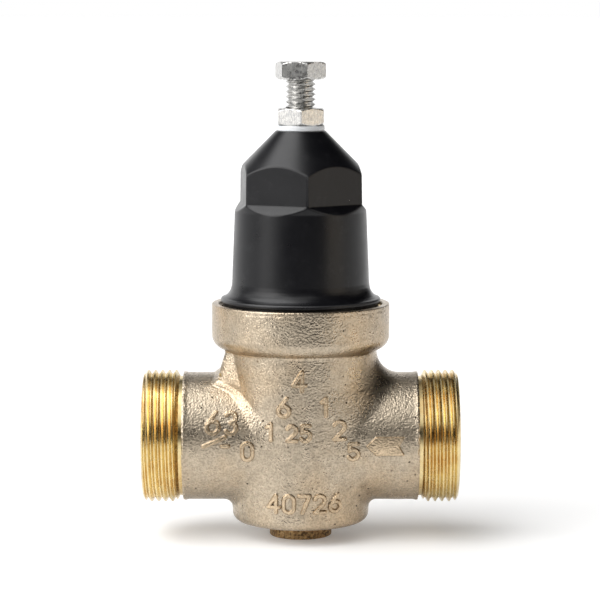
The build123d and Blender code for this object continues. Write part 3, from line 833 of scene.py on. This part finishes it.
def bore_tools(s):
    """Closed solids that are cut out of the casting: middle bore, port bores, passages."""
    chamber_low, chamber_high = low("strainer_screen")[2], high("strainer_screen")[2]
    partition = high("bypass_seat")[2]
    rim = high("cartridge_body")[2]
    mouth = high("valve_body")[2]
    below = low("valve_body")[2] - 1 * MM
    plug_thread, inlet_chamber, nose = 8.0 * MM, 17.0 * MM, 14.5 * MM
    outlet_chamber, ledge, thread = 20.6 * MM, 22.6 * MM, 25.4 * MM
    outline = [
        (0, below),
        (plug_thread, below),
        (plug_thread, chamber_low),
        (inlet_chamber, chamber_low),
        (inlet_chamber, chamber_high),
        (nose, chamber_high),
        (nose, partition),
        (outlet_chamber, partition),
        (outlet_chamber, rim - 2 * MM),
        (ledge, rim - 2 * MM),
        (ledge, rim),
        (thread, rim),
    ]
    outline += spaced([(thread, rim + 0.1 * MM), (thread, mouth - 1.0 * MM)], 0.15 * MM)
    outline += [
        (25.9 * MM, mouth - 0.55 * MM),
        (25.95 * MM, mouth - 0.25 * MM),
        (26.3 * MM, mouth + 0.1 * MM),
        (26.3 * MM, mouth + 3 * MM),
        (0, mouth + 3 * MM),
    ]

    def collar_thread(radius, height, angle):
        inside = (np.abs(radius - thread) < 1e-7) & (height > rim + 0.05 * MM)
        rise = thread_height(height / (1.5 * MM) - angle / (2 * pi))
        return np.where(inside, thread + 0.62 * MM * rise, radius)

    tools = [lathe("middle_bore", outline, 128, collar_thread)]
    outward(tools[0])
    for side in (1, -1):
        end = high("valve_body")[0]
        bore = s.port_bore
        outline = [
            (0, 23.5 * MM),
            (bore, 23.5 * MM),
            (bore, end - 0.5 * MM),
            (bore + 0.6 * MM, end + 0.1 * MM),
            (bore + 0.6 * MM, end + 1 * MM),
            (0, end + 1 * MM),
        ]
        tool = lathe("port_bore", outline, 96)
        along_x(tool, s.port_height, side)
        tools.append(tool)
        tools.append(passage_tool(s, side))
    hole_low, hole_high, hole_radius = low("bypass_spring")[2], partition + 1 * MM, 2.6 * MM
    hole = lathe(
        "bypass_hole",
        [(0, hole_low), (hole_radius, hole_low), (hole_radius, hole_high), (0, hole_high)],
        32,
    )
    shift = (low("bypass_seat")[0] + high("bypass_seat")[0]) / 2
    write_points(hole.data, read_points(hole.data) + (shift, 0, 0))
    outward(hole)
    tools.append(hole)
    return tools


def passage_tool(s, side):
    """The part-round passage between a port bore and its chamber."""
    radius = 12.2 * MM
    if side > 0:
        level = high("strainer_screen")[2] - s.port_height
        start, end = pi + np.arcsin(-level / radius), 2 * pi - np.arcsin(-level / radius)
    else:
        level = high("bypass_seat")[2] - s.port_height
        start, end = np.arcsin(level / radius), pi - np.arcsin(level / radius)
    turns = np.linspace(start, end, 33)
    far, near = side * 23.9 * MM, side * 10.8 * MM
    points, count = [], len(turns)
    for x in (near, far):
        for t in turns:
            points.append((x, radius * cos(t), s.port_height + radius * sin(t)))
    faces = [list(range(count)), list(range(count, 2 * count))]
    for i in range(count):
        j = (i + 1) % count
        faces.append([i, j, count + j, count + i])
    tool = new_object("passage", points, faces)
    outward(tool)
    return tool


def collar_rim(s):
    """The turned rim on top of the collar, a closed ring."""
    mouth = high("valve_body")[2]
    outer, inner, foot = s.collar_radius, 24.0 * MM, mouth - 2.5 * MM
    outline = [
        (inner, foot),
        (outer - 0.06 * MM, foot),
        (outer - 0.03 * MM, mouth - 1.3 * MM),
        (outer, mouth - 1.1 * MM),
    ]
    outline += arc_points((outer - 0.4 * MM, mouth - 0.4 * MM), 0.4 * MM, 0, 90, 4)
    outline += [(inner, mouth), outline[0]]
    ring = lathe("collar_rim", outline, 192)
    outward(ring)
    return ring


class VALVE_OT_casting(bpy.types.Operator):
    """Build the casting with its union threads, bores and raised flow arrow"""

    bl_idname = "valve.casting"
    bl_label = "Casting"

    def execute(self, context):
        s = context.scene.valve_sizes
        piece = cast_skin(s)
        boolean(piece, collar_rim(s), "UNION")
        for side in (1, -1):
            boolean(piece, union_end(s, side), "UNION")
        for tool in bore_tools(s):
            boolean(piece, tool, "DIFFERENCE")
        colours = context.scene.valve_colours
        place_piece(
            piece,
            "valve",
            ["valve_body"],
            [
                cast_finish(colours, "cast_bronze", colours.casting),
                machined_finish(colours),
                # raised marks: copper tint and painted highlight
                cast_finish(colours, "raised_bronze", colours.casting_raised),
            ],
        )
        mesh = piece.data
        centres = np.empty(len(mesh.polygons) * 3)
        mesh.polygons.foreach_get("center", centres)
        centres = centres.reshape(-1, 3)
        inside = casting_distance(centres, s) < -0.35 * MM
        machined = inside | (np.abs(centres[:, 0]) > s.neck_reach + 0.05 * MM)
        raised = ~machined & (marks_height(centres, s) > 0.5)
        mesh.polygons.foreach_set("material_index", (machined + 2 * raised).astype(np.int32))
        smooth_by_angle(piece, 38)
        return {"FINISHED"}


# ------------------------------------------------------------------ spring bell


class VALVE_OT_bell(bpy.types.Operator):
    """Build the moulded bell with its wrench flats, ledges and flange"""

    bl_idname = "valve.bell"
    bl_label = "Bell"

    def execute(self, context):
        foot, top = low("bell_housing")[2], high("bell_housing")[2]
        flat_low, apothem, turn = 106.6 * MM, 18.33 * MM, radians(-23.9)
        draft = radians(1.0)
        corner = apothem / cos(pi / 6) - 0.05 * MM
        # the thread's band, drawn plain, its run-out and the flange's lip
        outside = [(25.4 * MM, foot), (25.4 * MM, 72.8 * MM), (24.7 * MM, 73.3 * MM)]
        outside += [(24.7 * MM, 75.1 * MM)]
        outside += arc_points((25.0 * MM, 75.5 * MM), 0.3 * MM, -80, -5, 3)
        outside += [(25.3 * MM, 76.2 * MM), (25.12 * MM, 76.5 * MM), (24.6 * MM, 76.72 * MM)]
        # the flange's sweep up into the round wall
        outside += [(24.2 * MM, 76.85 * MM), (23.4 * MM, 77.4 * MM), (22.7 * MM, 78.2 * MM)]
        outside += [(22.2 * MM, 79.1 * MM), (21.92 * MM, 80.1 * MM), (21.75 * MM, 81.4 * MM)]
        # the round wall, the hexagon's corners and the cone
        outside += [(20.82 * MM, 104.1 * MM), (corner, flat_low), (corner, 115.6 * MM)]
        outside += [(corner - 0.55 * MM, 116.5 * MM), (8.05 * MM, top - 0.2 * MM)]
        outside += [(7.75 * MM, top)]
        # down the insert's bore, the button's guide and the spring chamber
        inside = [(5.2 * MM, top), (5.2 * MM, top - 0.5 * MM), (6.2 * MM, top - 0.5 * MM)]
        inside += [(6.2 * MM, 115 * MM), (9 * MM, 115 * MM), (9 * MM, 123.8 * MM)]
        inside += [(15.5 * MM, 117.3 * MM), (15.5 * MM, 104.5 * MM), (17.8 * MM, 101 * MM)]
        inside += [(18.2 * MM, 74 * MM), (21.3 * MM, 70 * MM), (21.3 * MM, foot)]
        outline = spaced(outside, 0.33 * MM) + inside
        outline.append(outline[0])

        def flats(radius, height, angle):
            outer = (radius > 15.8 * MM) & (height > flat_low - 6 * MM)
            lean = np.where(
                height > flat_low,
                -tan(draft) * (height - flat_low),
                flat_low - height,
            )
            limit = hexagon_reach(angle, apothem + lean, turn)
            cut = soft_min(radius, limit, 0.28 * MM)
            return np.where(outer, cut, radius)

        piece = lathe("bell_shell", outline, 432, flats)
        outward(piece)
        colours = context.scene.valve_colours
        place_piece(piece, "valve", ["bell_housing"], [bell_finish(colours)])
        smooth_by_angle(piece, 50)
        return {"FINISHED"}


# ------------------------------------------------------------------ bolt, nut and washer


def hexagon_head(radius, height, angle, reach, ends, turn):
    """Limit radii to a hexagon whose corners are bevelled at the given end heights."""
    limit = hexagon_reach(angle, reach, turn)
    for end, direction in ends:
        bevel = reach - 0.15 * MM + np.maximum(direction * (height - end), 0) / tan(radians(30))
        limit = np.minimum(limit, bevel)
    return np.minimum(radius, limit)


class VALVE_OT_bolt(bpy.types.Operator):
    """Build the adjusting bolt with its helical thread and bevelled hexagon head"""

    bl_idname = "valve.bolt"
    bl_label = "Adjusting bolt"

    def execute(self, context):
        s = context.scene.valve_sizes
        tip, top = low("adjusting_bolt")[2], high("adjusting_bolt")[2]
        head = top - 5.6 * MM
        reach = s.wrench_size / 2
        corner = reach / cos(pi / 6)
        core = s.bolt_radius - s.bolt_depth
        profile = [(core, 0.0), (core, 0.12), (s.bolt_radius, 0.50), (s.bolt_radius, 0.62)]
        shank = helical_rod("bolt_shank", profile, s.bolt_pitch, 96, tip, head)
        limit = lathe(
            "bolt_limit",
            [
                (0, tip),
                (core - 0.3 * MM, tip),
                (s.bolt_radius + 0.1 * MM, tip + 1.3 * MM),
                (s.bolt_radius + 0.1 * MM, head + 0.8 * MM),
                (0, head + 0.8 * MM),
            ],
            96,
        )
        outward(limit)
        boolean(shank, limit, "INTERSECT")
        outline = [(0, head), (reach - 0.4 * MM, head)]
        outline += spaced([(corner, head + 0.01 * MM), (corner, top - 0.12 * MM)], 0.2 * MM)
        dish = top - 0.06 * MM
        outline += [(reach - 0.5 * MM, top), (reach - 1.2 * MM, dish), (0, dish)]

        def worked(radius, height, angle):
            ends = ((head, 1), (top, -1))
            return hexagon_head(radius, height, angle, reach, ends, radians(-15))

        piece = lathe("setting_bolt", outline, 144, worked)
        outward(piece)
        boolean(piece, shank, "UNION")
        colours = context.scene.valve_colours
        place_piece(piece, "bolt", ["adjusting_bolt"], [zinc_finish(colours)])
        smooth_by_angle(piece, 35)
        return {"FINISHED"}


class VALVE_OT_lock_nut(bpy.types.Operator):
    """Build the lock nut with both ends bevelled and a plain, chamfered bore"""

    bl_idname = "valve.lock_nut"
    bl_label = "Lock nut"

    def execute(self, context):
        s = context.scene.valve_sizes
        foot, top = low("jam_nut")[2], high("jam_nut")[2]
        reach = s.wrench_size / 2
        corner = reach / cos(pi / 6)
        bore = s.bolt_radius + 0.05 * MM
        outline = [(bore + 0.5 * MM, foot), (reach - 0.6 * MM, foot)]
        outline += spaced([(corner, foot + 0.08 * MM), (corner, top - 0.08 * MM)], 0.2 * MM)
        outline += [(reach - 0.6 * MM, top), (bore + 0.5 * MM, top)]
        outline += [(bore, top - 0.5 * MM), (bore, foot + 0.5 * MM)]
        outline.append(outline[0])

        def worked(radius, height, angle):
            ends = ((foot, 1), (top, -1))
            return hexagon_head(radius, height, angle, reach, ends, radians(-27.8))

        piece = lathe("lock_nut", outline, 144, worked)
        outward(piece)
        plated = bpy.data.materials["zinc_plate"]
        place_piece(piece, "lock_nut", ["jam_nut"], [plated])
        smooth_by_angle(piece, 35)
        return {"FINISHED"}


class VALVE_OT_washer(bpy.types.Operator):
    """Build the white sealing washer with its soft edges"""

    bl_idname = "valve.washer"
    bl_label = "Sealing washer"

    def execute(self, context):
        foot, top = low("sealing_washer")[2], high("sealing_washer")[2]
        outer = high("sealing_washer")[0]
        bore = 4.8 * MM
        soft = 0.3 * MM
        outline = [(bore, foot)]
        outline += arc_points((outer - soft, foot + soft), soft, -90, 0, 4)
        outline += arc_points((outer - soft, top - soft), soft, 0, 90, 4)
        outline += [(bore + 0.3 * MM, top), (bore, top - 0.3 * MM)]
        outline.append(outline[0])

        def pressed(radius, height, angle):
            swell = 0.04 * MM * np.sin(3 * angle + 0.7) - 0.04 * MM
            return np.where(radius > outer - 0.5 * MM, radius + swell, radius)

        piece = lathe("white_washer", outline, 96, pressed)
        outward(piece)
        colours = context.scene.valve_colours
        nylon = polymer_finish("white_nylon", colours.nylon, (0.66, 0.69, 0.72), 0.38, 0.00002)
        place_piece(piece, "seal_washer", ["sealing_washer"], [nylon])
        smooth_by_angle(piece, 35)
        return {"FINISHED"}


# ------------------------------------------------------------------ bottom plug


class VALVE_OT_plug(bpy.types.Operator):
    """Build the bottom plug with its key socket"""

    bl_idname = "valve.plug"
    bl_label = "Bottom plug"

    def execute(self, context):
        outer, top = high("bottom_plug")[0], high("bottom_plug")[2]
        head_top, thread, floor = 4.2 * MM, 8.0 * MM, 9.0 * MM
        socket = 4.0 * MM
        wide = socket / cos(pi / 6)
        outline = [(0, 3.2 * MM), (wide, 3.2 * MM), (wide, 0.3 * MM), (wide + 0.3 * MM, 0)]
        outline += [(outer - 0.5 * MM, 0)]
        outline += arc_points((outer - 0.5 * MM, 0.5 * MM), 0.5 * MM, -70, 0, 4)
        outline += [(outer, head_top - 0.3 * MM), (outer - 0.3 * MM, head_top)]
        outline += [(thread, head_top), (thread, floor), (7 * MM, floor), (7 * MM, top)]
        outline += [(3.05 * MM, top), (3.05 * MM, 6.5 * MM), (0, 6.5 * MM)]

        def keyed(radius, height, angle):
            limit = hexagon_reach(angle, socket, 0)
            inside = (radius > 0) & (radius < wide + 0.01 * MM) & (height < 3.3 * MM)
            return np.where(inside, np.minimum(radius, limit), radius)

        piece = lathe("foot_plug", outline, 96, keyed)
        outward(piece)
        colours = context.scene.valve_colours
        place_piece(piece, "valve", ["bottom_plug"], [plug_finish(colours)])
        smooth_by_angle(piece, 40)
        return {"FINISHED"}


# ------------------------------------------------------------------ pieces kept from the frame


class VALVE_OT_inner_metal(bpy.types.Operator):
    """Finish the stem pack, seats, screen and insert"""

    bl_idname = "valve.inner_metal"
    bl_label = "Inner metal parts"

    def execute(self, context):
        c = context.scene.valve_colours
        dark = tuple(0.6 * v for v in c.stainless)
        stainless = plain_metal_finish("stainless_steel", c.stainless, dark, 0.3)
        brass = plain_metal_finish("turned_brass", c.brass, (0.55, 0.36, 0.14), 0.28)
        plated = bpy.data.materials["zinc_plate"]
        finishes = {
            stainless: ["valve_seat", "strainer_screen", "stem", "disc_retainer",
                        "diaphragm_plate", "stem_lock_washer", "bypass_ball"],
            brass: ["bolt_insert", "bypass_seat", "disc_holder", "disc_nut"],
            plated: ["spring_plate", "stem_nut", "spring_button"],
        }
        dress(finishes)
        return {"FINISHED"}


def coil_part(name, node, start, end):
    """A closed copy of the part of a CAD spring between two heights."""
    work = bmesh.new()
    work.from_mesh(frame["nodes"][node].data)
    for level, upwards in ((start, -1), (end, 1)):
        cut = bmesh.ops.bisect_plane(
            work,
            geom=work.verts[:] + work.edges[:] + work.faces[:],
            plane_co=(0, 0, level),
            plane_no=(0, 0, upwards),
            clear_outer=True,
        )["geom_cut"]
        rim = [item for item in cut if isinstance(item, bmesh.types.BMEdge)]
        if rim:
            bmesh.ops.triangle_fill(work, edges=rim, use_beauty=True)
    made = new_object(name, [], [])
    work.to_mesh(made.data)
    work.free()
    return made


class VALVE_OT_springs(bpy.types.Operator):
    """Build the springs from the CAD springs, the main spring cut into a lower and an upper half"""

    bl_idname = "valve.springs"
    bl_label = "Springs"

    def execute(self, context):
        colours = context.scene.valve_colours
        wire = plain_metal_finish("spring_wire", colours.spring, (0.10, 0.09, 0.08), 0.35)
        travel = {joint["name"]: joint for joint in frame["joints"]}
        lift = travel["stem_lift"]["range_m"][1]
        press = -travel["button_slide"]["range_m"][0]
        ball = travel["bypass_lift"]["range_m"][1]
        main, check = "adjusting_spring", "bypass_spring"
        foot, top = low(main)[2], high(main)[2]
        middle, half = (foot + top) / 2, (top - foot) / 2
        check_foot, check_top = low(check)[2], high(check)[2]
        past = 1 * MM
        # the stem presses the lower half up, the button presses the upper half down
        springs = (
            # piece, node, lowest, highest, joint, height that stays, share of the length left
            ("main_spring_lower", main, foot - past, middle, "stem_lift", middle, 1 - lift / half),
            ("main_spring_upper", main, middle, top + past, "bolt_turn", middle, 1 - press / half),
            (
                "check_spring",
                check,
                check_foot - past,
                check_top + past,
                "bypass_lift",
                check_foot,
                1 - ball / (check_top - check_foot),
            ),
        )
        for name, node, start, end, joint, anchor, keep in springs:
            piece = coil_part(name, node, start, end)
            place_piece(piece, "valve", [node], [wire])
            smooth_by_angle(piece, 40)
            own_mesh(piece)
        return {"FINISHED"}


class VALVE_OT_inner_polymer(bpy.types.Operator):
    """Finish the cartridge, bush, slip ring, rubber parts and fibre seal"""

    bl_idname = "valve.inner_polymer"
    bl_label = "Inner polymer parts"

    def execute(self, context):
        c = context.scene.valve_colours
        acetal = polymer_finish("dark_acetal", c.acetal, (0.05, 0.05, 0.055), 0.35, 0.00002)
        natural = polymer_finish("natural_acetal", c.natural, (0.60, 0.58, 0.50), 0.4, 0.00002)
        rubber = polymer_finish("moulded_rubber", c.rubber, (0.03, 0.03, 0.03), 0.6, 0.00004)
        fibre = polymer_finish("red_fibre", c.fibre, (0.32, 0.10, 0.06), 0.7, 0.00006)
        finishes = {
            acetal: ["cartridge_body"],
            natural: ["guide_bush", "slip_ring"],
            rubber: ["diaphragm", "cartridge_o_ring", "seat_disc"],
            fibre: ["bottom_plug_seal"],
        }
        dress(finishes)
        return {"FINISHED"}


def dress(finishes):
    """Give CAD nodes their materials."""
    for material, names in finishes.items():
        for name in names:
            mesh = frame["nodes"][name].data
            mesh.materials.clear()
            mesh.materials.append(material)


# ------------------------------------------------------------------ stage


SOFT_LIGHTS = (
    # azimuth from the front to the right, elevation and half width in degrees, strength, tint
    (180, 8, 30, 1.25, (1, 1, 1)),
    (-140, 8, 26, 1.15, (1, 1, 1)),
    (-100, 8, 24, 0.3, (1, 1, 1)),
    (-60, 19, 27, 3.0, (1, 0.99, 0.98)),
    (62, 4, 22, 1.25, (1, 0.86, 0.68)),
    (100, 8, 26, 0.4, (1, 0.92, 0.82)),
    (-90, 38, 28, 1.4, (1, 1, 1)),
    (-45, 38, 28, 2.1, (1, 1, 1)),
    (8, 42, 20, 1.0, (1, 1, 1)),
    (-150, 66, 26, 0.4, (1, 1, 1)),
    (-90, 66, 26, 3.6, (1, 1, 1)),
    (-30, 66, 26, 1.4, (1, 1, 1)),
)


def soft_studio(tree):
    """Surround the scene with broad soft lights on a dark room."""
    background = tree.nodes["Background"]
    direction = tree.nodes.new("ShaderNodeTexCoord").outputs["Generated"]
    total = None
    for azimuth, elevation, half, strength, tint in SOFT_LIGHTS:
        a, e = radians(azimuth), radians(elevation)
        facing = tree.nodes.new("ShaderNodeVectorMath")
        facing.operation = "DOT_PRODUCT"
        facing.inputs[1].default_value = (sin(a) * cos(e), -cos(a) * cos(e), sin(e))
        tree.links.new(direction, facing.inputs[0])
        glow = tree.nodes.new("ShaderNodeMapRange")
        glow.interpolation_type = "SMOOTHSTEP"
        glow.inputs[1].default_value = cos(radians(half))
        glow.inputs[2].default_value = cos(radians(half * 0.5))
        glow.inputs[4].default_value = strength
        tree.links.new(facing.outputs["Value"], glow.inputs[0])
        tinted = tree.nodes.new("ShaderNodeVectorMath")
        tinted.operation = "MULTIPLY_ADD"
        tinted.inputs[1].default_value = tint
        tinted.inputs[2].default_value = (0.01, 0.01, 0.01)
        tree.links.new(glow.outputs[0], tinted.inputs[0])
        if total:
            tree.links.new(total, tinted.inputs[2])
        total = tinted.outputs[0]
    # the room looks white itself, so that the floor has no visible edge
    seen = tree.nodes.new("ShaderNodeMix")
    seen.data_type = "RGBA"
    seen.inputs[7].default_value = (1, 1, 1, 1)
    tree.links.new(tree.nodes.new("ShaderNodeLightPath").outputs["Is Camera Ray"], seen.inputs[0])
    tree.links.new(total, seen.inputs[6])
    tree.links.new(seen.outputs[2], background.inputs[0])


class VALVE_OT_stage(bpy.types.Operator):
    """Build the pale floor, the soft lights and the camera"""

    bl_idname = "valve.stage"
    bl_label = "Stage"

    def execute(self, context):
        scene = context.scene
        scene.view_settings.view_transform = "Standard"
        wide, front, deep = 40, -0.5, 70
        corners = [(-wide, front, 0), (wide, front, 0), (wide, deep, 0), (-wide, deep, 0)]
        floor = new_object("floor", corners, [(0, 1, 2, 3)])
        paper = Finish("floor_paper", (0.90, 0.90, 0.90), 0.0, 0.7)
        paper.shader.inputs["Emission Color"].default_value = (1, 1, 1, 1)
        paper.shader.inputs["Emission Strength"].default_value = 0.15
        paper.set("Roughness", paper.ramp(paper.noise(30), 0.3, 0.7, 0.65, 0.75))
        floor.data.materials.append(paper.material)

        world = bpy.data.worlds.new("studio")
        scene.world = world
        world.use_nodes = True
        soft_studio(world.node_tree)

        field, tilt, distance = radians(13.96), radians(6.7), 0.779
        camera = bpy.data.cameras.new("camera")
        camera.sensor_width = 36.0
        camera.lens = camera.sensor_width / 2 / tan(field / 2)
        camera.clip_start, camera.clip_end = 0.01, 100
        made = bpy.data.objects.new("camera", camera)
        aim = Vector((-0.0002, 0, 0.0756))
        back = Vector((0, -cos(tilt), sin(tilt)))
        made.location = aim + back * distance
        made.rotation_mode = "QUATERNION"
        made.rotation_quaternion = (-back).to_track_quat("-Z", "Y")
        scene.collection.objects.link(made)
        scene.camera = made
        return {"FINISHED"}


# ------------------------------------------------------------------ panel and registration


OPERATORS = (
    VALVE_OT_stage,
    VALVE_OT_casting,
    VALVE_OT_bell,
    VALVE_OT_bolt,
    VALVE_OT_lock_nut,
    VALVE_OT_washer,
    VALVE_OT_plug,
    VALVE_OT_inner_metal,
    VALVE_OT_springs,
    VALVE_OT_inner_polymer,
)


class VALVE_PT_pieces(bpy.types.Panel):
    """Lists the steps that build the valve"""

    bl_label = "Pressure reducing valve"
    bl_idname = "VALVE_PT_pieces"
    bl_space_type = "VIEW_3D"
    bl_region_type = "UI"
    bl_category = "Valve"

    def draw(self, context):
        column = self.layout.column()
        for operator in OPERATORS:
            column.operator(operator.bl_idname)


CLASSES = (ValveSizes, ValveColours, *OPERATORS, VALVE_PT_pieces)


def register():
    """Register the classes and their settings."""
    for item in CLASSES:
        bpy.utils.register_class(item)
    bpy.types.Scene.valve_sizes = PointerProperty(type=ValveSizes)
    bpy.types.Scene.valve_colours = PointerProperty(type=ValveColours)


def unregister():
    """Remove the settings and classes."""
    del bpy.types.Scene.valve_colours
    del bpy.types.Scene.valve_sizes
    for item in reversed(CLASSES):
        bpy.utils.unregister_class(item)


def main():
    """Build everything."""
    register()
    for operator in OPERATORS:
        family, step = operator.bl_idname.split(".")
        getattr(getattr(bpy.ops, family), step)()
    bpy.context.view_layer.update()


if __name__ == "__main__":
    main()
